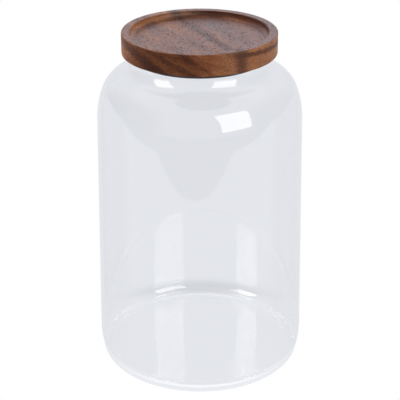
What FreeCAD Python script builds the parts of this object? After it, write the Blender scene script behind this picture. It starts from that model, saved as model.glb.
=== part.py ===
import FreeCAD, Part
import math
import os
import Sketcher

# Lidded storage canister: a blown glass jar with a short neck, a turned wooden lid that sits over
# the rim, and a finned silicone seal round the boss under the lid.
# Millimetres. The origin is the centre of the face the jar stands on, and +Z is up.

os.makedirs("parts", exist_ok=True)
doc = FreeCAD.newDocument("canister")

# ---------------------------------------------------------------- driving dimensions
DRIVING = [
    # jar, outside
    ("foot_corner", 72.6),        # radius where the slanting heel would meet the ground
    ("foot_round", 4.0),
    ("heel_radius", 75.6),        # where the slanting heel would meet the wall
    ("heel_height", 12.5),
    ("heel_blend", 72.0),
    ("shoulder_radius", 72.3),    # radius where the wall turns into the shoulder
    ("shoulder_start", 185.6),
    ("shoulder_side", 62.0),      # radii of the shoulder's three arcs, from the wall inwards
    ("shoulder_bend", 22.7),
    ("shoulder_crown", 52.0),
    ("side_slope", 20.5),         # degrees round at which the first arc passes to the second
    ("bend_slope", 56.7),         # and the second to the third
    ("neck_radius", 49.2),
    ("neck_foot_round", 12.0),    # hollow curve from the shoulder into the neck
    ("rim_top", 238.6),
    ("rim_round", 1.1),
    # jar, inside
    ("wall_thick", 2.0),
    ("neck_thick", 2.6),
    ("floor_thick", 2.6),
    ("inner_heel_round", 10.0),
    ("inner_neck_round", 14.0),
    ("punt_radius", 62.0),        # shallow push-up in the middle of the foot
    ("punt_flat", 48.0),
    ("punt_height", 0.8),
    # lid
    ("lid_radius", 53.9),
    ("lid_bottom", 232.7),
    ("lid_thick", 15.0),
    ("lid_edge_round", 0.9),
    ("dish_radius", 47.7),
    ("dish_depth", 4.2),
    ("dish_cove", 3.2),
    ("dish_edge_round", 0.6),
    ("channel_radius", 50.2),     # outer wall of the channel that takes the glass rim
    ("boss_radius", 44.4),
    ("boss_drop", 4.1),           # the boss ends this far below the lid's underside
    ("boss_edge_round", 0.8),
    # seal
    ("seat_radius", 42.8),
    ("seat_low", 231.4),
    ("seat_high", 236.2),
    ("fin_radius", 46.3),
    ("fin_thick", 0.9),
    ("fin_rise", 0.5),            # the fins slope upwards towards their tips
    ("band_radius", 44.3),
    ("outside", 1.0),             # how far a cutting outline runs past the face it starts from
]

DERIVED = [
    ("draft", "=atan((heel_radius - shoulder_radius) / (shoulder_start - heel_height))"),
    # centres and joins of the shoulder's arcs, outside and inside
    ("side_centre_radius", "=shoulder_radius - shoulder_side * cos(draft)"),
    ("side_centre_height", "=shoulder_start - shoulder_side * sin(draft)"),
    ("side_end_radius", "=side_centre_radius + shoulder_side * cos(side_slope)"),
    ("side_end_height", "=side_centre_height + shoulder_side * sin(side_slope)"),
    ("bend_centre_radius", "=side_end_radius - shoulder_bend * cos(side_slope)"),
    ("bend_centre_height", "=side_end_height - shoulder_bend * sin(side_slope)"),
    ("bend_end_radius", "=bend_centre_radius + shoulder_bend * cos(bend_slope)"),
    ("bend_end_height", "=bend_centre_height + shoulder_bend * sin(bend_slope)"),
    ("crown_centre_radius", "=bend_end_radius - shoulder_crown * cos(bend_slope)"),
    ("crown_centre_height", "=bend_end_height - shoulder_crown * sin(bend_slope)"),
    ("shoulder_top",
     "=crown_centre_height + sqrt(shoulder_crown ^ 2 - (neck_radius - crown_centre_radius) ^ 2)"),
    ("inner_side", "=shoulder_side - wall_thick"),
    ("inner_bend", "=shoulder_bend - wall_thick"),
    ("inner_crown", "=shoulder_crown - wall_thick"),
    ("inner_start_radius", "=side_centre_radius + inner_side * cos(draft)"),
    ("inner_start_height", "=side_centre_height + inner_side * sin(draft)"),
    ("inner_side_end_radius", "=side_centre_radius + inner_side * cos(side_slope)"),
    ("inner_side_end_height", "=side_centre_height + inner_side * sin(side_slope)"),
    ("inner_bend_end_radius", "=bend_centre_radius + inner_bend * cos(bend_slope)"),
    ("inner_bend_end_height", "=bend_centre_height + inner_bend * sin(bend_slope)"),
    ("mouth_radius", "=neck_radius - neck_thick"),
    ("inner_shoulder_top",
     "=crown_centre_height + sqrt(inner_crown ^ 2 - (mouth_radius - crown_centre_radius) ^ 2)"),
    ("inner_heel_height", "=floor_thick + inner_heel_round"),
    ("inner_heel_wall", "=inner_start_radius + (inner_start_height - inner_heel_height) * tan(draft)"),
    ("inner_heel_centre", "=inner_heel_wall - inner_heel_round / cos(draft)"),
    ("inner_heel_end_radius", "=inner_heel_centre + inner_heel_round * cos(draft)"),
    ("inner_heel_end_height", "=inner_heel_height + inner_heel_round * sin(draft)"),
    ("above_rim", "=rim_top + outside"),
    ("below_foot", "=-outside"),
    ("lid_top", "=lid_bottom + lid_thick"),
    ("above_lid", "=lid_top + outside"),
    ("dish_floor", "=lid_top - dish_depth"),
    ("dish_floor_radius", "=dish_radius - dish_cove"),
    ("dish_wall_foot", "=dish_floor + dish_cove"),
    ("boss_bottom", "=lid_bottom - boss_drop"),
    ("below_lid", "=lid_bottom - outside"),
    ("seat_outside", "=boss_radius + outside"),
    ("low_fin_top", "=seat_low + fin_thick"),
    ("low_tip_bottom", "=seat_low + fin_rise"),
    ("low_tip_top", "=low_fin_top + fin_rise"),
    ("high_fin_bottom", "=seat_high - fin_rise - fin_thick"),
    ("high_fin_top", "=seat_high - fin_rise"),
    ("high_tip_bottom", "=high_fin_bottom + fin_rise"),
    ("high_tip_top", "=seat_high"),
]

sheet = doc.addObject("Spreadsheet::Sheet", "dims")
for row, (alias, content) in enumerate(DRIVING + DERIVED, start=1):
    sheet.set(f"A{row}", alias)
    sheet.set(f"B{row}", str(content))
    sheet.setAlias(f"B{row}", alias)
doc.recompute()


def size(alias):
    """Number held under an alias of the sheet."""
    content = sheet.get(alias)
    return float(getattr(content, "Value", content))


# ---------------------------------------------------------------- helpers
def origin_feature(body, role):
    return next(item for item in body.Origin.OriginFeatures if item.Role == role)


def arc_between(start, end, radius):
    """Counter-clockwise arc of less than half a turn from start to end."""
    chord = end - start
    half = chord.Length / 2
    inward = FreeCAD.Vector(-chord.y, chord.x, 0).normalize()
    centre = (start + end) / 2 + inward * math.sqrt(radius ** 2 - half ** 2)
    circle = Part.Circle(centre, FreeCAD.Vector(0, 0, 1), radius)
    return Part.ArcOfCircle(circle,
                            math.atan2(start.y - centre.y, start.x - centre.x),
                            math.atan2(end.y - centre.y, end.x - centre.x))


def outline(body, name, corners, arcs=None):
    """Closed outline in the body's XZ plane. Corners are (radius, height) aliases, None on an axis.

    arcs maps the index of a corner to the alias of the radius of the arc that leaves it.
    """
    arcs = arcs or {}
    sketch = body.newObject("Sketcher::SketchObject", name)
    sketch.AttachmentSupport = [(origin_feature(body, "XZ_Plane"), "")]
    sketch.MapMode = "FlatFace"
    points = [FreeCAD.Vector(size(r) if r else 0.0, size(z) if z else 0.0, 0) for r, z in corners]
    count = len(points)
    for index in range(count):
        start = points[index]
        end = points[(index + 1) % count]
        if index in arcs:
            sketch.addGeometry(arc_between(start, end, size(arcs[index])), False)
        else:
            sketch.addGeometry(Part.LineSegment(start, end), False)
    for index in range(count):
        sketch.addConstraint(Sketcher.Constraint("Coincident", index, 2, (index + 1) % count, 1))
    for index, (radius, height) in enumerate(corners):
        for kind, alias, axis, number in (("DistanceX", radius, -2, points[index].x),
                                          ("DistanceY", height, -1, points[index].y)):
            if alias is None:
                sketch.addConstraint(Sketcher.Constraint("PointOnObject", index, 1, axis))
            else:
                place = sketch.addConstraint(Sketcher.Constraint(kind, -1, 1, index, 1, number))
                sketch.setExpression(f"Constraints[{place}]", f"dims.{alias}")
    for index, alias in arcs.items():
        place = sketch.addConstraint(Sketcher.Constraint("Radius", index, size(alias)))
        sketch.setExpression(f"Constraints[{place}]", f"dims.{alias}")
    sketch.Visibility = False
    return sketch


def turned(body, kind, name, corners, arcs=None):
    """Adds (Revolution) or removes (Groove) the outline turned once round the Z axis."""
    before = body.Shape.Volume if body.Tip else 0.0
    sketch = outline(body, name + "_outline", corners, arcs)
    feature = body.newObject("PartDesign::" + kind, name)
    feature.Profile = sketch
    feature.ReferenceAxis = (sketch, ["V_Axis"])
    feature.Angle = 360.0
    doc.recompute()
    grown = feature.Shape.Volume - before
    if (kind == "Revolution") != (grown > 0):
        raise RuntimeError(f"{name} changed the volume by {grown:.1f}")
    return feature


def rounded(body, name, edges, radius_alias):
    """Rounds the circular edges at the given (radius, height) aliases."""
    before = body.Tip
    wanted = [(size(r), size(z) if z else 0.0) for r, z in edges]
    names = []
    for index, edge in enumerate(before.Shape.Edges, start=1):
        if not isinstance(edge.Curve, Part.Circle):
            continue
        for radius, height in wanted:
            if abs(edge.Curve.Radius - radius) < 0.02 and abs(edge.Curve.Center.z - height) < 0.02:
                names.append(f"Edge{index}")
    if len(names) != len(edges):
        raise RuntimeError(f"{name} found {len(names)} edges of {len(edges)}")
    feature = body.newObject("PartDesign::Fillet", name)
    feature.Base = (before, names)
    feature.setExpression("Radius", f"dims.{radius_alias}")
    doc.recompute()
    return feature


def new_body(name):
    body = doc.addObject("PartDesign::Body", name)
    body.Label = name
    body.Placement = FreeCAD.Placement()
    return body


# ---------------------------------------------------------------- glass_jar
jar = new_body("glass_jar")
turned(jar, "Revolution", "jar_outside", [
    (None, None),
    ("foot_corner", None),
    ("heel_radius", "heel_height"),
    ("shoulder_radius", "shoulder_start"),
    ("side_end_radius", "side_end_height"),
    ("bend_end_radius", "bend_end_height"),
    ("neck_radius", "shoulder_top"),
    ("neck_radius", "rim_top"),
    (None, "rim_top"),
], arcs={3: "shoulder_side", 4: "shoulder_bend", 5: "shoulder_crown"})
rounded(jar, "foot", [("foot_corner", None)], "foot_round")
rounded(jar, "heel", [("heel_radius", "heel_height")], "heel_blend")
rounded(jar, "neck_foot", [("neck_radius", "shoulder_top")], "neck_foot_round")

turned(jar, "Groove", "jar_inside", [
    (None, "floor_thick"),
    ("inner_heel_centre", "floor_thick"),
    ("inner_heel_end_radius", "inner_heel_end_height"),
    ("inner_start_radius", "inner_start_height"),
    ("inner_side_end_radius", "inner_side_end_height"),
    ("inner_bend_end_radius", "inner_bend_end_height"),
    ("mouth_radius", "inner_shoulder_top"),
    ("mouth_radius", "above_rim"),
    (None, "above_rim"),
], arcs={1: "inner_heel_round", 3: "inner_side", 4: "inner_bend", 5: "inner_crown"})
rounded(jar, "inner_neck_foot", [("mouth_radius", "inner_shoulder_top")], "inner_neck_round")
rounded(jar, "rim", [("neck_radius", "rim_top"), ("mouth_radius", "rim_top")], "rim_round")

turned(jar, "Groove", "punt", [
    (None, "below_foot"),
    ("punt_radius", "below_foot"),
    ("punt_radius", None),
    ("punt_flat", "punt_height"),
    (None, "punt_height"),
])

# ---------------------------------------------------------------- wood_lid
lid = new_body("wood_lid")
turned(lid, "Revolution", "lid_blank", [
    (None, "boss_bottom"),
    ("boss_radius", "boss_bottom"),
    ("boss_radius", "lid_bottom"),
    ("lid_radius", "lid_bottom"),
    ("lid_radius", "lid_top"),
    (None, "lid_top"),
])
turned(lid, "Groove", "rim_channel", [
    ("boss_radius", "below_lid"),
    ("channel_radius", "below_lid"),
    ("channel_radius", "rim_top"),
    ("boss_radius", "rim_top"),
])
turned(lid, "Groove", "seal_seat", [
    ("seat_radius", "seat_low"),
    ("seat_outside", "seat_low"),
    ("seat_outside", "seat_high"),
    ("seat_radius", "seat_high"),
])
turned(lid, "Groove", "dish", [
    (None, "dish_floor"),
    ("dish_floor_radius", "dish_floor"),
    ("dish_radius", "dish_wall_foot"),
    ("dish_radius", "above_lid"),
    (None, "above_lid"),
], arcs={1: "dish_cove"})
rounded(lid, "outer_edges", [("lid_radius", "lid_bottom"), ("lid_radius", "lid_top")], "lid_edge_round")
rounded(lid, "dish_edge", [("dish_radius", "lid_top")], "dish_edge_round")
rounded(lid, "boss_edge", [("boss_radius", "boss_bottom")], "boss_edge_round")

# ---------------------------------------------------------------- seal_ring
seal = new_body("seal_ring")
turned(seal, "Revolution", "finned_ring", [
    ("seat_radius", "seat_low"),
    ("band_radius", "seat_low"),
    ("fin_radius", "low_tip_bottom"),
    ("fin_radius", "low_tip_top"),
    ("band_radius", "low_fin_top"),
    ("band_radius", "high_fin_bottom"),
    ("fin_radius", "high_tip_bottom"),
    ("fin_radius", "high_tip_top"),
    ("band_radius", "high_fin_top"),
    ("band_radius", "seat_high"),
    ("seat_radius", "seat_high"),
])

# ---------------------------------------------------------------- checks and export
for item in doc.Objects:
    if "Invalid" in item.State or "Error" in item.State:
        raise RuntimeError(f"{item.Name} is {item.State}")
for body in (jar, lid, seal):
    shape = body.Shape
    if shape.isNull() or not shape.isValid() or len(shape.Solids) != 1:
        raise RuntimeError(f"{body.Label} is not one valid solid")
    shape.exportStep(os.path.join("parts", body.Label + ".step"))
    box = shape.BoundBox
    print(f"{body.Label}: {shape.Volume / 1000:.1f} cm3, x {box.XLength:.2f}, z {box.ZMin:.2f} to {box.ZMax:.2f}")
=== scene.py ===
import math

import bmesh
import bpy
from mathutils import Matrix, Vector


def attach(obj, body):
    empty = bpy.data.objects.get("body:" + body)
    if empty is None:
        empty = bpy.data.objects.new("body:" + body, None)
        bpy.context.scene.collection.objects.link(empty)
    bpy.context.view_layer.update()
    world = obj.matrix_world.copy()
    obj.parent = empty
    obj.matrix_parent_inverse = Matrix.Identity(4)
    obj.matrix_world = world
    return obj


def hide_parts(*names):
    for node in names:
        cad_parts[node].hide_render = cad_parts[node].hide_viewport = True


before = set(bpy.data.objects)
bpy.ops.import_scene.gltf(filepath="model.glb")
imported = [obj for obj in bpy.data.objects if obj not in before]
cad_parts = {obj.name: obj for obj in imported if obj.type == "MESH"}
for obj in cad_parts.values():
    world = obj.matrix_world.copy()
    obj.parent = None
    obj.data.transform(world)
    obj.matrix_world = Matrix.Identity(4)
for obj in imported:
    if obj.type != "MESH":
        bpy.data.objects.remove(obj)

MM = 0.001
TURN = 2 * math.pi
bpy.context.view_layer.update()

# ---------------------------------------------------------------- sizes, in millimetres and degrees
# jar, outside
FOOT_CORNER, FOOT_ROUND = 72.6, 4.0      # radius where the slanting heel would meet the ground
HEEL_RADIUS, HEEL_HEIGHT, HEEL_BLEND = 75.6, 12.5, 72.0
SHOULDER_RADIUS, SHOULDER_START = 72.3, 185.6
SIDE_ARC, BEND_ARC, CROWN_ARC = 62.0, 22.7, 52.0      # the shoulder's arcs, from the wall inwards
SIDE_SLOPE, BEND_SLOPE = 20.5, 56.7      # slopes at which one arc passes to the next
NECK_RADIUS, NECK_HOLLOW = 49.2, 12.0
RIM_TOP, RIM_ROUND = 238.6, 1.1
# jar, inside
WALL_THICK, NECK_THICK, FLOOR_THICK = 2.0, 2.6, 2.6
INNER_HEEL_ROUND, INNER_NECK_HOLLOW = 10.0, 14.0
PUNT_RADIUS, PUNT_FLAT, PUNT_HEIGHT = 62.0, 48.0, 0.8      # shallow push-up in the middle of the foot
# lid
LID_RADIUS, LID_BOTTOM, LID_TOP, LID_EDGE_ROUND = 53.9, 232.7, 247.7, 0.9
DISH_RADIUS, DISH_FLOOR, DISH_COVE, DISH_EDGE_ROUND = 47.7, 243.5, 3.2, 0.6
CHANNEL_RADIUS = 50.2                    # outer wall of the channel that takes the glass rim
BOSS_RADIUS, BOSS_BOTTOM, BOSS_EDGE_ROUND = 44.4, 228.6, 0.8
# seal
SEAT_RADIUS, SEAT_LOW, SEAT_HIGH = 42.8, 231.4, 236.2
BAND_RADIUS, WAIST_RADIUS, WAIST_HEIGHT = 44.3, 44.2, 233.6
FIN_RADIUS, FIN_THICK, FIN_RISE = 46.3, 0.9, 0.45
FIN_LOW_BEVEL, FIN_HIGH_BEVEL = 0.2, 0.15
HIGH_FIN = 234.8                         # underside of the upper fin, where it leaves the band


# ---------------------------------------------------------------- node helpers
class Nodes:
    """Short calls for building a node tree."""

    def __init__(self, tree):
        self.tree = tree
        tree.nodes.clear()

    def add(self, kind, inputs=None, **settings):
        node = self.tree.nodes.new(kind)
        for key, value in settings.items():
            setattr(node, key, value)
        for key, value in (inputs or {}).items():
            self.put(node.inputs[key], value)
        return node

    def put(self, socket, value):
        if isinstance(value, bpy.types.NodeSocket):
            self.tree.links.new(value, socket)
        elif isinstance(value, bpy.types.Node):
            self.tree.links.new(value.outputs[0], socket)
        else:
            socket.default_value = value

    def math(self, operation, *values):
        node = self.add("ShaderNodeMath", operation=operation)
        for index, value in enumerate(values):
            self.put(node.inputs[index], value)
        return node.outputs[0]

    def vector_math(self, operation, *values, out=0):
        node = self.add("ShaderNodeVectorMath", operation=operation)
        for index, value in enumerate(values):
            self.put(node.inputs[index], value)
        return node.outputs[out]

    def remap(self, value, low, high, to_low=0.0, to_high=1.0):
        node = self.add("ShaderNodeMapRange", interpolation_type="SMOOTHSTEP")
        node.clamp = True
        for index, item in enumerate((value, low, high, to_low, to_high)):
            self.put(node.inputs[index], item)
        return node.outputs[0]

    def mix(self, factor, a, b):
        node = self.add("ShaderNodeMix", data_type="RGBA")
        node.clamp_factor = True
        self.put(node.inputs[0], factor)
        self.put(node.inputs[6], a)
        self.put(node.inputs[7], b)
        return node.outputs[2]

    def ramp(self, value, stops):
        node = self.add("ShaderNodeValToRGB")
        elements = node.color_ramp.elements
        while len(elements) < len(stops):
            elements.new(0.5)
        for element, (place, colour) in zip(elements, stops):
            element.position = place
            element.color = (*colour, 1.0)
        self.put(node.inputs[0], value)
        return node.outputs[0]

    def noise(self, vector, scale, detail=2.0, roughness=0.5):
        node = self.add("ShaderNodeTexNoise", {
            "Vector": vector, "Scale": scale, "Detail": detail, "Roughness": roughness})
        return node.outputs[0]


def new_material(name):
    material = bpy.data.materials.new(name)
    material.use_nodes = True
    return material, Nodes(material.node_tree)


# ---------------------------------------------------------------- lathe
def arc(centre_r, centre_z, radius, start, end, steps):
    """Points of an arc, angles in degrees from the +r direction."""
    return [(centre_r + radius * math.cos(math.radians(start + (end - start) * i / steps)),
             centre_z + radius * math.sin(math.radians(start + (end - start) * i / steps)))
            for i in range(steps + 1)]


def line(start, end, steps):
    return [(start[0] + (end[0] - start[0]) * i / steps, start[1] + (end[1] - start[1]) * i / steps)
            for i in range(steps + 1)]


def corner(before, at, after, radius, steps):
    """Fillet of a corner, from the line that comes in to the line that goes out."""
    at = Vector(at)
    u = (Vector(before) - at).normalized()
    v = (Vector(after) - at).normalized()
    half = u.angle(v) / 2
    centre = at + (u + v).normalized() * radius / math.sin(half)
    start = at + u * radius / math.tan(half) - centre
    end = at + v * radius / math.tan(half) - centre
    turn = math.atan2(start.x * end.y - start.y * end.x, start.dot(end))
    first = math.atan2(start.y, start.x)
    return [(centre.x + radius * math.cos(first + turn * i / steps),
             centre.y + radius * math.sin(first + turn * i / steps)) for i in range(steps + 1)]


def chain(*runs):
    """Joins runs of points and drops repeats."""
    points = []
    for run in runs:
        for point in run:
            if not points or math.dist(points[-1], point) > 1e-4:
                points.append(point)
    return points


def lathe(name, profile, segments, closed=False):
    """Turns an (r, z) profile in millimetres once round Z. A profile that isn't closed ends on the axis."""
    mesh = bpy.data.meshes.new(name)
    build = bmesh.new()
    rings = []
    for r, z in profile:
        if r < 1e-6:
            rings.append([build.verts.new((0, 0, z * MM))])
            continue
        ring = []
        for i in range(segments):
            angle = TURN * i / segments
            ring.append(build.verts.new((r * MM * math.cos(angle), r * MM * math.sin(angle), z * MM)))
        rings.append(ring)
    pairs = list(zip(rings, rings[1:]))
    if closed:
        pairs.append((rings[-1], rings[0]))
    for a, b in pairs:
        for i in range(segments):
            j = (i + 1) % segments
            if len(a) == 1:
                build.faces.new((a[0], b[j], b[i]))
            elif len(b) == 1:
                build.faces.new((a[i], a[j], b[0]))
            else:
                build.faces.new((a[i], a[j], b[j], b[i]))
    bmesh.ops.recalc_face_normals(build, faces=build.faces)
    for face in build.faces:
        face.smooth = True
    build.to_mesh(mesh)
    build.free()
    obj = bpy.data.objects.new(name, mesh)
    bpy.context.scene.collection.objects.link(obj)
    return obj


# ---------------------------------------------------------------- glass jar
DRAFT = math.degrees(math.atan((HEEL_RADIUS - SHOULDER_RADIUS) / (SHOULDER_START - HEEL_HEIGHT)))


def step_in(point, radius, degrees, sign=-1):
    """Moves a point along the normal that has this slope, inwards unless the sign is +1."""
    return (point[0] + sign * radius * math.cos(math.radians(degrees)),
            point[1] + sign * radius * math.sin(math.radians(degrees)))


SIDE_CENTRE = step_in((SHOULDER_RADIUS, SHOULDER_START), SIDE_ARC, DRAFT)
BEND_CENTRE = step_in(step_in(SIDE_CENTRE, SIDE_ARC, SIDE_SLOPE, 1), BEND_ARC, SIDE_SLOPE)
CROWN_CENTRE = step_in(step_in(BEND_CENTRE, BEND_ARC, BEND_SLOPE, 1), CROWN_ARC, BEND_SLOPE)


def shoulder(inset, neck_r, hollow):
    """The three arcs of the shoulder and the hollow curve that ends upright on the neck."""
    crown = CROWN_ARC - inset
    centre_r = neck_r + hollow
    rise = math.sqrt((crown + hollow) ** 2 - (centre_r - CROWN_CENTRE[0]) ** 2)
    touch = math.degrees(math.atan2(rise, centre_r - CROWN_CENTRE[0]))
    return (arc(*SIDE_CENTRE, SIDE_ARC - inset, DRAFT, SIDE_SLOPE, 24)
            + arc(*BEND_CENTRE, BEND_ARC - inset, SIDE_SLOPE, BEND_SLOPE, 28)
            + arc(*CROWN_CENTRE, crown, BEND_SLOPE, touch, 10)
            + arc(centre_r, CROWN_CENTRE[1] + rise, hollow, 180 + touch, 180, 24))


def jar_profile():
    # outside, from the middle of the foot up to the rim
    foot_corner, heel_corner = (FOOT_CORNER, 0), (HEEL_RADIUS, HEEL_HEIGHT)
    punt = [(0.0, PUNT_HEIGHT), (PUNT_FLAT / 2, PUNT_HEIGHT), (PUNT_FLAT, PUNT_HEIGHT), (PUNT_RADIUS, 0.0)]
    foot = corner((0, 0), foot_corner, heel_corner, FOOT_ROUND, 24)
    heel = corner(foot_corner, heel_corner, (SHOULDER_RADIUS, SHOULDER_START), HEEL_BLEND, 16)
    outer = shoulder(0.0, NECK_RADIUS, NECK_HOLLOW)
    neck = line(outer[-1], (NECK_RADIUS, RIM_TOP - RIM_ROUND), 4)
    mouth_r = NECK_RADIUS - NECK_THICK
    rim = (arc(NECK_RADIUS - RIM_ROUND, RIM_TOP - RIM_ROUND, RIM_ROUND, 0, 90, 10)
           + arc(mouth_r + RIM_ROUND, RIM_TOP - RIM_ROUND, RIM_ROUND, 90, 180, 10))
    # inside, from the rim down to the middle of the floor
    inner = shoulder(WALL_THICK, mouth_r, INNER_NECK_HOLLOW)
    wall_top = inner[0]
    corner_r = wall_top[0] + (wall_top[1] - FLOOR_THICK) * math.tan(math.radians(DRAFT))
    inner_heel = corner(wall_top, (corner_r, FLOOR_THICK), (0.0, FLOOR_THICK), INNER_HEEL_ROUND, 32)
    floor_line = line(inner_heel[-1], (0.0, FLOOR_THICK), 16)
    return chain(punt, line(punt[-1], foot[0], 4), foot, heel, line(heel[-1], outer[0], 40),
                 outer, neck, rim, line(rim[-1], inner[-1], 4), inner[::-1],
                 line(wall_top, inner_heel[0], 40), inner_heel, floor_line)


jar = lathe("jar_glass", jar_profile(), 256)
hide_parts("glass_jar")
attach(jar, "jar")


# ---------------------------------------------------------------- lid
def polyline(start, *steps):
    """Straight lines from one (r, z) to the next, each cut into the number of steps given with it."""
    runs = []
    for point, count in steps:
        runs.append(line(start, point, count))
        start = point
    return chain(*runs)


def lid_profile():
    boss_r, edge_r = BOSS_RADIUS - BOSS_EDGE_ROUND, LID_RADIUS - LID_EDGE_ROUND
    lip_r, cove_r = DISH_RADIUS + DISH_EDGE_ROUND, DISH_RADIUS - DISH_COVE
    return chain(
        # boss, the seal's seat in it, and the channel for the rim
        line((0.0, BOSS_BOTTOM), (boss_r, BOSS_BOTTOM), 10),
        arc(boss_r, BOSS_BOTTOM + BOSS_EDGE_ROUND, BOSS_EDGE_ROUND, -90, 0, 6),
        polyline((BOSS_RADIUS, BOSS_BOTTOM + BOSS_EDGE_ROUND),
                 ((BOSS_RADIUS, SEAT_LOW), 2), ((SEAT_RADIUS, SEAT_LOW), 2), ((SEAT_RADIUS, SEAT_HIGH), 3),
                 ((BOSS_RADIUS, SEAT_HIGH), 2), ((BOSS_RADIUS, RIM_TOP), 2), ((CHANNEL_RADIUS, RIM_TOP), 4),
                 ((CHANNEL_RADIUS, LID_BOTTOM), 4), ((edge_r, LID_BOTTOM), 4)),
        # turned edge and the top face
        arc(edge_r, LID_BOTTOM + LID_EDGE_ROUND, LID_EDGE_ROUND, -90, 0, 6),
        line((LID_RADIUS, LID_BOTTOM + LID_EDGE_ROUND), (LID_RADIUS, LID_TOP - LID_EDGE_ROUND), 14),
        arc(edge_r, LID_TOP - LID_EDGE_ROUND, LID_EDGE_ROUND, 0, 90, 6),
        line((edge_r, LID_TOP), (lip_r, LID_TOP), 6),
        # dish
        arc(lip_r, LID_TOP - DISH_EDGE_ROUND, DISH_EDGE_ROUND, 90, 180, 5),
        line((DISH_RADIUS, LID_TOP - DISH_EDGE_ROUND), (DISH_RADIUS, DISH_FLOOR + DISH_COVE), 1),
        arc(cove_r, DISH_FLOOR + DISH_COVE, DISH_COVE, 0, -90, 14),
        line((cove_r, DISH_FLOOR), (0.0, DISH_FLOOR), 30),
    )


lid = lathe("lid_wood", lid_profile(), 320)
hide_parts("wood_lid")
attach(lid, "lid")


# ---------------------------------------------------------------- seal
def fin(low):
    """One fin that slopes up to a bevelled tip."""
    high = low + FIN_THICK
    return [(BAND_RADIUS, low), (FIN_RADIUS - FIN_LOW_BEVEL, low + FIN_RISE),
            (FIN_RADIUS, low + FIN_RISE + FIN_LOW_BEVEL), (FIN_RADIUS, high + FIN_RISE - FIN_HIGH_BEVEL),
            (FIN_RADIUS - FIN_LOW_BEVEL, high + FIN_RISE), (BAND_RADIUS, high)]


def seal_profile():
    return ([(SEAT_RADIUS, SEAT_LOW)] + fin(SEAT_LOW) + [(WAIST_RADIUS, WAIST_HEIGHT)] + fin(HIGH_FIN)
            + [(WAIST_RADIUS, SEAT_HIGH), (SEAT_RADIUS, SEAT_HIGH)])


seal = lathe("seal_silicone", seal_profile(), 256, closed=True)
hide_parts("seal_ring")
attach(seal, "lid")

# ---------------------------------------------------------------- materials
PIPED_DEPTH = 7.5      # Ray Depth past which a ray in the glass ends in the pale tone

glass, g = new_material("blown_glass")
g_place = g.add("ShaderNodeTexCoord").outputs["Object"]
g_cloud = g.noise(g_place, 9.0, detail=3.0)
g_tint = g.ramp(g_cloud, [(0.35, (0.960, 0.963, 0.970)), (0.65, (0.967, 0.970, 0.977))])
# longer way through the wall where it is seen edge on
g_edge = g.remap(g.add("ShaderNodeLayerWeight", {"Blend": 0.5}).outputs["Facing"], 0.55, 0.95)
g_tint = g.mix(g.math("MULTIPLY", g_edge, 0.8), g_tint, (0.872, 0.882, 0.902, 1))
g_shader = g.add("ShaderNodeBsdfPrincipled", {
    "Base Color": g_tint, "Roughness": 0.0, "IOR": 1.47, "Transmission Weight": 1.0})
# stand-in for light piped along inside the wall: a ray that has met many surfaces ends in a pale tone
g_deep = g.math("GREATER_THAN", g.add("ShaderNodeLightPath").outputs["Ray Depth"], PIPED_DEPTH)
g_piped = g.add("ShaderNodeEmission", {"Color": (0.83, 0.845, 0.88, 1), "Strength": 1.0})
g_both = g.add("ShaderNodeMixShader", {0: g_deep, 1: g_shader, 2: g_piped})
g.add("ShaderNodeOutputMaterial", {"Surface": g_both})
jar.data.materials.append(glass)

GRAIN, ACROSS = (0.38, -0.925, 0.0), (0.925, 0.38, 0.0)
WOOD_MIDDLE = 240.0      # height that the figure of the wood is measured from, in millimetres
UMBER, DEEP_BROWN = (0.030, 0.009, 0.005, 1), (0.040, 0.012, 0.006, 1)
LIT_HONEY, SHEEN_GREY_BROWN = (0.290, 0.125, 0.055, 1), (0.098, 0.052, 0.046, 1)

wood, w = new_material("oiled_acacia")
w_place = w.vector_math("MULTIPLY", w.add("ShaderNodeTexCoord").outputs["Object"], (1000, 1000, 1000))
w_place = w.vector_math("SUBTRACT", w_place, (0, 0, WOOD_MIDDLE))
# axes of the board in millimetres: along the grain, across it, and through the growth layers
w_along = w.vector_math("DOT_PRODUCT", w_place, GRAIN, out=1)
w_across = w.vector_math("DOT_PRODUCT", w_place, ACROSS, out=1)
w_height = w.add("ShaderNodeSeparateXYZ", {0: w_place}).outputs["Z"]
w_sway = w.noise(w.vector_math("MULTIPLY", w_place, (0.03, 0.03, 0.05)), 1.0, detail=2.0)
w_bent = w.math("MULTIPLY_ADD", w_sway, 16.0, w_across)
w_layer = w.math("ADD", w.math("MULTIPLY", w_bent, 0.42), w.math("MULTIPLY", w_height, 0.91))
w_tangent = w.math("SUBTRACT", w.math("MULTIPLY", w_height, 0.42), w.math("MULTIPLY", w_bent, 0.91))


def board(layer, along, tangent):
    return w.add("ShaderNodeCombineXYZ", {
        0: w.math("MULTIPLY", w_layer, layer), 1: w.math("MULTIPLY", w_along, along),
        2: w.math("MULTIPLY", w_tangent, tangent)})


def fibre(thick, long):
    return w.add("ShaderNodeCombineXYZ", {
        0: w.math("MULTIPLY", w_across, thick), 1: w.math("MULTIPLY", w_along, long),
        2: w.math("MULTIPLY", w_height, thick)})


w_wide = w.noise(board(0.16, 0.012, 0.05), 1.0, detail=2.0)
w_fine = w.noise(board(0.75, 0.03, 0.32), 1.0, detail=3.0, roughness=0.6)
w_hair = w.noise(fibre(1.5, 0.06), 1.0, detail=2.0, roughness=0.6)
w_pore = w.noise(fibre(1.5, 0.36), 1.0, detail=1.0, roughness=0.4)
w_spot = w.noise(w.vector_math("MULTIPLY", w_place, (0.05, 0.05, 0.05)), 1.0, detail=1.0)

w_tone = w.math("ADD", w.math("MULTIPLY", w_wide, 0.70), w.math("MULTIPLY", w_fine, 0.30))
w_col = w.ramp(w_tone, [
    (0.30, (0.040, 0.012, 0.006)), (0.44, (0.088, 0.028, 0.010)),
    (0.56, (0.150, 0.051, 0.018)), (0.72, (0.250, 0.100, 0.038))])


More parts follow.
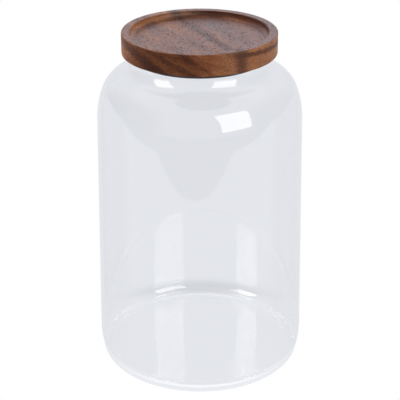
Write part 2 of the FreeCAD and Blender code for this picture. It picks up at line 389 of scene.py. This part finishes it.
def stripe(direction, offset, half):
    """1 inside a straight stripe and 0 outside it."""
    away = w.math("ADD", w.vector_math("DOT_PRODUCT", w_place, direction, out=1), offset)
    sway = w.math("MULTIPLY_ADD", w_fine, 4.0, w.math("SUBTRACT", away, 2.0))
    return w.remap(w.math("ABSOLUTE", sway), half, half * 0.3)


# figure of the turned edge, placed one by one, with painted light on its right front; painted sheen on the
# upward faces
w_normal = w.add("ShaderNodeNewGeometry").outputs["Normal"]
w_up = w.add("ShaderNodeSeparateXYZ", {0: w_normal}).outputs["Z"]
w_radius = w.vector_math("LENGTH", w.vector_math("MULTIPLY", w_place, (1, 1, 0)), out=1)
w_edge = w.math("MULTIPLY", w.remap(w_radius, 52.8, 53.3), w.remap(w_up, 0.9, 0.5))
w_x = w.add("ShaderNodeSeparateXYZ", {0: w_place}).outputs["X"]
w_front = w.remap(w.vector_math("DOT_PRODUCT", w_normal, (0, -1, 0), out=1), 0.0, 0.1)
w_edge = w.math("MULTIPLY", w_edge, w_front)
# painted light: a lighter honey tone towards the right of the front of the turned edge, where the key lamp
# falls
w_col = w.mix(w.math("MULTIPLY", w_edge, w.remap(w_x, 4.0, 20.0, 0.0, 0.55)), w_col, LIT_HONEY)
w_col = w.mix(w.math("MULTIPLY", w_edge, w.math("MULTIPLY", stripe((0.447, 0, 0.894), 17.4, 5.0), 0.75)),
              w_col, UMBER)
w_col = w.mix(w.math("MULTIPLY", w_edge, w.math("MULTIPLY", stripe((0.447, 0, 0.894), 8.0, 3.0), 0.6)),
              w_col, DEEP_BROWN)
w_col = w.mix(w.math("MULTIPLY", w.math("MULTIPLY", w_edge, stripe((0.093, 0, 0.996), -7.3, 2.6)),
              w.remap(w_x, 10.0, 34.0, 0.0, 0.85)), w_col, (0.045, 0.015, 0.009, 1))
# painted sheen: upward faces mixed towards grey-brown, more so on one side across the grain
w_face_sheen = w.math("MULTIPLY", w.remap(w_up, 0.9, 0.99), w.remap(w_across, -4.0, 20.0, 0.15, 0.65))
w_col = w.mix(w_face_sheen, w_col, SHEEN_GREY_BROWN)
# end grain drinks more oil and turns darker; the extra darkening inside the dish is painted shade in the
# recess
w_end = w.math("ABSOLUTE", w.vector_math("DOT_PRODUCT", w_normal, GRAIN, out=1))
w_end_grain_and_dish_shade = w.remap(w_radius, 48.3, 47.8, 0.30, 0.55)
w_col = w.mix(w.math("MULTIPLY", w.remap(w_end, 0.3, 1.0), w_end_grain_and_dish_shade), w_col, (0.026, 0.008, 0.004, 1))
w_cove = w.math("MULTIPLY", w.remap(w_radius, 48.3, 47.8), w.remap(w_up, 0.95, 0.6))
# painted shade: the back wall of the dish, which faces the front, is darkened
w_far_wall_shade = w.remap(w.vector_math("DOT_PRODUCT", w_normal, (-0.35, -0.93, 0), out=1), 0.25, 0.60)
w_col = w.mix(w.math("MULTIPLY", w.math("MULTIPLY", w_cove, w_far_wall_shade), 0.75), w_col, (0.030, 0.008, 0.004, 1))
# painted light: the left wall of the dish, which faces the key lamp, is lightened to orange
w_lit_left_wall = w.remap(w.vector_math("DOT_PRODUCT", w_normal, (0.95, -0.30, 0), out=1), 0.2, 0.6)
w_col = w.mix(w.math("MULTIPLY", w.math("MULTIPLY", w_cove, w_lit_left_wall), 0.4), w_col, (0.300, 0.120, 0.048, 1))
# open pores, crowded in one dark streak
w_streak_line = w.vector_math("DOT_PRODUCT", w_place, (0.90, 0.44, 0.0), out=1)
w_streak_at = w.math("MULTIPLY_ADD", w_spot, 6.0, w_streak_line)
w_streak_off = w.math("ABSOLUTE", w.math("SUBTRACT", w_streak_at, 8.0))
w_streak = w.remap(w_streak_off, 6.5, 1.0)
w_limit = w.math("MULTIPLY_ADD", w_streak, -0.07, 0.615)
w_open = w.remap(w.math("SUBTRACT", w_pore, w_limit), -0.01, 0.03)
w_col = w.mix(w.math("MULTIPLY", w_streak, 0.72), w_col, (0.040, 0.016, 0.010, 1))
w_col = w.mix(w.math("MULTIPLY", w_open, 0.75), w_col, (0.022, 0.009, 0.006, 1))
w_rough = w.math("MULTIPLY_ADD", w_open, 0.25, w.remap(w_fine, 0.3, 0.7, 0.40, 0.50))
w_dent = w.add("ShaderNodeBump", {
    "Strength": 0.35, "Distance": 0.0003,
    "Height": w.math("SUBTRACT", w.math("MULTIPLY", w_hair, 0.5), w_open)})
w_gloss = w.math("MULTIPLY_ADD", w_edge, -0.12, 1.32)
w_shader = w.add("ShaderNodeBsdfPrincipled", {
    "Base Color": w_col, "Roughness": w_rough, "IOR": w_gloss, "Normal": w_dent})
w.add("ShaderNodeOutputMaterial", {"Surface": w_shader})
lid.data.materials.append(wood)

rubber, s = new_material("translucent_silicone")
s_place = s.add("ShaderNodeTexCoord").outputs["Object"]
s_col = s.ramp(s.noise(s_place, 40.0), [(0.3, (0.78, 0.79, 0.78)), (0.7, (0.85, 0.86, 0.85))])
s_skin = s.remap(s.noise(s_place, 900.0, detail=2.0), 0.3, 0.7, 0.42, 0.58)
s_shader = s.add("ShaderNodeBsdfPrincipled", {
    "Base Color": s_col, "Roughness": s_skin, "IOR": 1.41, "Transmission Weight": 0.3})
s.add("ShaderNodeOutputMaterial", {"Surface": s_shader})
seal.data.materials.append(rubber)

# ---------------------------------------------------------------- studio
FLOOR_HALF, FLOOR_Z = 40, -0.0001      # the floor lies just under the foot
FRONT_EDGE = -0.432      # seen in the glass, the white table ends here towards the front
THROUGH_DEPTH = 3.5      # Transmission Depth of a ray that has gone right through the jar
RING_STRENGTH = 0.85
TABLE_SHADE, TABLE_EVEN = (0.62, 0.635, 0.665, 1), (0.81, 0.822, 0.855, 1)
WHITE = (1, 1, 1, 1)

floor_mesh = bpy.data.meshes.new("floor")
floor_corners = [(x * FLOOR_HALF, y * FLOOR_HALF, FLOOR_Z) for x, y in ((-1, -1), (1, -1), (1, 1), (-1, 1))]
floor_mesh.from_pydata(floor_corners, [], [(0, 1, 2, 3)])
floor = bpy.data.objects.new("studio_floor", floor_mesh)
bpy.context.scene.collection.objects.link(floor)

# the floor glows instead of being lit: plain white to the camera, and to other rays a painted lit table,
# brighter towards the front
floor_glow, f = new_material("glowing_floor")
f_path = f.add("ShaderNodeLightPath").outputs["Is Camera Ray"]
f_spot = f.add("ShaderNodeSeparateXYZ", {0: f.add("ShaderNodeNewGeometry").outputs["Position"]})
f_edge = f.math("MULTIPLY_ADD", f_spot.outputs["X"], -0.1, FRONT_EDGE)
f_near = f.math("SUBTRACT", f_spot.outputs["Y"], f_edge)
f_table = f.mix(f.remap(f_spot.outputs["Y"], -0.12, 0.0), (1.10, 1.115, 1.145, 1), (0.80, 0.812, 0.845, 1))
# painted dark ring on the table behind the jar, in place of a contact shadow
f_ring = f.vector_math("LENGTH", f.add("ShaderNodeNewGeometry").outputs["Position"], out=1)
f_shade = f.math("MULTIPLY", f.remap(f_ring, 0.110, 0.080), f.remap(f_ring, 0.071, 0.075))
f_shade = f.math("MULTIPLY", f_shade, f.remap(f_spot.outputs["Y"], 0.055, 0.085))
f_table = f.mix(f.math("MULTIPLY", f_shade, RING_STRENGTH), f_table, TABLE_SHADE)
f_seen = f.mix(f.remap(f_near, -0.006, 0.006), (0.50, 0.515, 0.545, 1), f_table)
# seen right through the jar the table has one even tone from every side
f_through = f.math("GREATER_THAN", f.add("ShaderNodeLightPath").outputs["Transmission Depth"], THROUGH_DEPTH)
f_even = f.mix(f.math("MULTIPLY", f_shade, RING_STRENGTH), TABLE_EVEN, TABLE_SHADE)
f_seen = f.mix(f_through, f_seen, f_even)
f_colour = f.mix(f_path, f_seen, WHITE)
f_glow = f.add("ShaderNodeEmission", {"Color": f_colour, "Strength": 1.0})
f.add("ShaderNodeOutputMaterial", {"Surface": f_glow})
floor_mesh.materials.append(floor_glow)

world = bpy.data.worlds.new("studio")
bpy.context.scene.world = world
world.use_nodes = True
v = Nodes(world.node_tree)
v_path = v.add("ShaderNodeLightPath").outputs["Is Camera Ray"]
v_dir = v.add("ShaderNodeSeparateXYZ", {0: v.add("ShaderNodeTexCoord").outputs["Generated"]})
v_x, v_y, v_z = (v_dir.outputs[axis] for axis in "XYZ")
v_back = v.remap(v_y, 0.0, 0.5)
v_side = v.remap(v.math("ABSOLUTE", v_x), 0.55, 0.95)
# the walls that light the wood are darker than the ones that show in the glass
v_soft = v.add("ShaderNodeLightPath").outputs["Is Diffuse Ray"]
v_front = v.mix(v_soft, (0.78, 0.79, 0.825, 1), (0.46, 0.47, 0.50, 1))
v_walls = v.mix(v_back, v_front, (0.80, 0.812, 0.845, 1))
v_flank = v.math("MULTIPLY", v_side, v.remap(v_x, 0.2, -0.2, 0.50, 0.95))
v_walls = v.mix(v_flank, v_walls, (0.30, 0.31, 0.35, 1))
# overhead: a lit ceiling with a dark opening in front of it
v_lift = v.math("MAXIMUM", v_z, 0.02)
v_cx = v.math("DIVIDE", v_x, v_lift)
v_cy = v.math("DIVIDE", v_y, v_lift)
v_oval = v.vector_math("LENGTH", v.add("ShaderNodeCombineXYZ", {
    0: v.math("MULTIPLY_ADD", v_cx, 2.9, -0.14), 1: v.math("MULTIPLY_ADD", v_cy, 2.5, 0.22)}), out=1)
v_dark = v.remap(v_oval, 1.03, 0.97)
v_high = v.remap(v_z, 0.60, 0.75)
v_over = v.remap(v_cy, 0.20, 0.40)
v_roof = v.mix(v_over, (0.84, 0.85, 0.89, 1), (1.0, 1.01, 1.05, 1))
v_top = v.mix(v_dark, v_roof, (0.06, 0.065, 0.08, 1))
v_room = v.mix(v_high, v_walls, v_top)
v_colour = v.mix(v_path, v_room, WHITE)
v_light = v.add("ShaderNodeBackground", {"Color": v_colour, "Strength": 1.0})
v.add("ShaderNodeOutputWorld", {"Surface": v_light})


def only_for(lamp, *objects):
    """Lets a lamp light these objects and nothing else."""
    group = bpy.data.collections.new(lamp.name + "_lights")
    for item in objects:
        group.objects.link(item)
    lamp.light_linking.receiver_collection = group


def aimed(obj, azimuth, elevation, distance, aim):
    a, e = math.radians(azimuth), math.radians(elevation)
    offset = Vector((math.sin(a) * math.cos(e), -math.cos(a) * math.cos(e), math.sin(e))) * distance
    obj.location = Vector(aim) + offset
    obj.rotation_mode = "QUATERNION"
    obj.rotation_quaternion = offset.to_track_quat("Z", "Y")
    bpy.context.scene.collection.objects.link(obj)
    return obj


def lamp(name, azimuth, elevation, distance, width, height, power, colour, aim):
    data = bpy.data.lights.new(name, "AREA")
    data.shape = "RECTANGLE"
    data.size, data.size_y, data.energy, data.color = width, height, power, colour
    obj = aimed(bpy.data.objects.new(name, data), azimuth, elevation, distance, aim)
    obj.visible_camera = False
    return obj


NEAR_WALL_DEPTH = 2.5      # Transmission Depth below which an image is on the near wall
LID_STARTS = 0.2322      # no softbox shows in anything higher than this, in metres
NOWHERE = (1.0, 1.0)


def softbox(name, azimuth, elevation, distance, width, height, strength, deep, hidden):
    """Glowing panel that shows in the glass only. It is staged, not a plain lamp: deep is its strength in
    mirror images on the far wall, and its image on the near wall is left out where the glass is at a height
    in the hidden band. came_from, the height that a ray left, is worked out from Geometry's Incoming."""
    mesh = bpy.data.meshes.new(name)
    x, y = width / 2, height / 2
    mesh.from_pydata([(-x, -y, 0), (x, -y, 0), (x, y, 0), (-x, y, 0)], [], [(0, 1, 2, 3)])
    material, n = new_material(name + "_cloth")
    path = n.add("ShaderNodeLightPath").outputs
    here = n.add("ShaderNodeNewGeometry").outputs
    back = n.vector_math("MULTIPLY", here["Incoming"], n.add("ShaderNodeCombineXYZ", {
        0: path["Ray Length"], 1: path["Ray Length"], 2: path["Ray Length"]}))
    came_from = n.add("ShaderNodeSeparateXYZ", {0: n.vector_math("ADD", here["Position"], back)}).outputs["Z"]
    first = n.math("LESS_THAN", path["Transmission Depth"], NEAR_WALL_DEPTH)
    inside = n.math("MULTIPLY", n.math("GREATER_THAN", came_from, hidden[0]),
                    n.math("LESS_THAN", came_from, hidden[1]))
    shown = n.math("SUBTRACT", 1.0, n.math("MULTIPLY", first, inside))
    shown = n.math("MULTIPLY", shown, n.math("LESS_THAN", came_from, LID_STARTS))
    shown = n.math("MULTIPLY", shown, n.math("SUBTRACT", 1.0, path["Is Diffuse Ray"]))
    power = n.math("MULTIPLY_ADD", first, strength - deep, deep)
    glow = n.add("ShaderNodeEmission", {"Color": (1.0, 0.985, 0.95, 1), "Strength": power})
    clear = n.add("ShaderNodeBsdfTransparent", {"Color": WHITE})
    cloth = n.add("ShaderNodeMixShader", {0: shown, 1: clear, 2: glow})
    n.add("ShaderNodeOutputMaterial", {"Surface": cloth})
    mesh.materials.append(material)
    obj = aimed(bpy.data.objects.new(name, mesh), azimuth, elevation, distance, (0, 0, 0.15))
    obj.visible_camera = obj.visible_diffuse = obj.visible_shadow = False
    return obj


softbox("softbox_right", 41, 26, 1.3, 0.82, 0.86, strength=3.9, deep=8.5, hidden=NOWHERE)
softbox("softbox_left", -62, 30, 1.3, 0.6, 0.8, strength=3.9, deep=9.5, hidden=(0.0, 0.2185))
AT_LID = (0, 0, 0.24)
only_for(lamp("key", 44, 24, 1.2, 0.5, 0.5, 18, (1.0, 0.98, 0.95), AT_LID), lid, seal)
rim = lamp("rim", -108, 16, 1.2, 0.5, 0.5, 26, (1.0, 1.0, 1.0), AT_LID)
rim.visible_glossy = False      # or it shows as a white patch in the dish from the side
only_for(rim, lid, seal)
only_for(lamp("sweep", 180, 26, 1.6, 2.4, 1.0, 10, (0.86, 0.95, 1.14), AT_LID), lid, seal)

# ---------------------------------------------------------------- camera
CAMERA_AT = (0.0, -0.79707, 0.49477)
CAMERA_DIP, CAMERA_ROLL = 25.229, -0.003      # degrees below level, and radians
CAMERA_LENS = 108.51

camera_data = bpy.data.cameras.new("camera")
camera_data.sensor_width = 36.0
camera_data.lens = CAMERA_LENS
camera_data.clip_start, camera_data.clip_end = 0.01, 100.0
camera = bpy.data.objects.new("camera", camera_data)
bpy.context.scene.collection.objects.link(camera)
camera.location = CAMERA_AT
camera.rotation_mode = "QUATERNION"
camera.rotation_quaternion = (Matrix.Rotation(math.radians(90 - CAMERA_DIP), 3, "X")
                              @ Matrix.Rotation(CAMERA_ROLL, 3, "Z")).to_quaternion()
bpy.context.scene.camera = camera

# ---------------------------------------------------------------- how light is followed
scene = bpy.context.scene
scene.view_settings.view_transform = "Standard"
scene.view_settings.look = "None"
scene.cycles.max_bounces = 48
scene.cycles.transmission_bounces = 48
scene.cycles.glossy_bounces = 12
scene.cycles.caustics_reflective = False
scene.cycles.caustics_refractive = False
scene.cycles.sample_clamp_indirect = 12.0
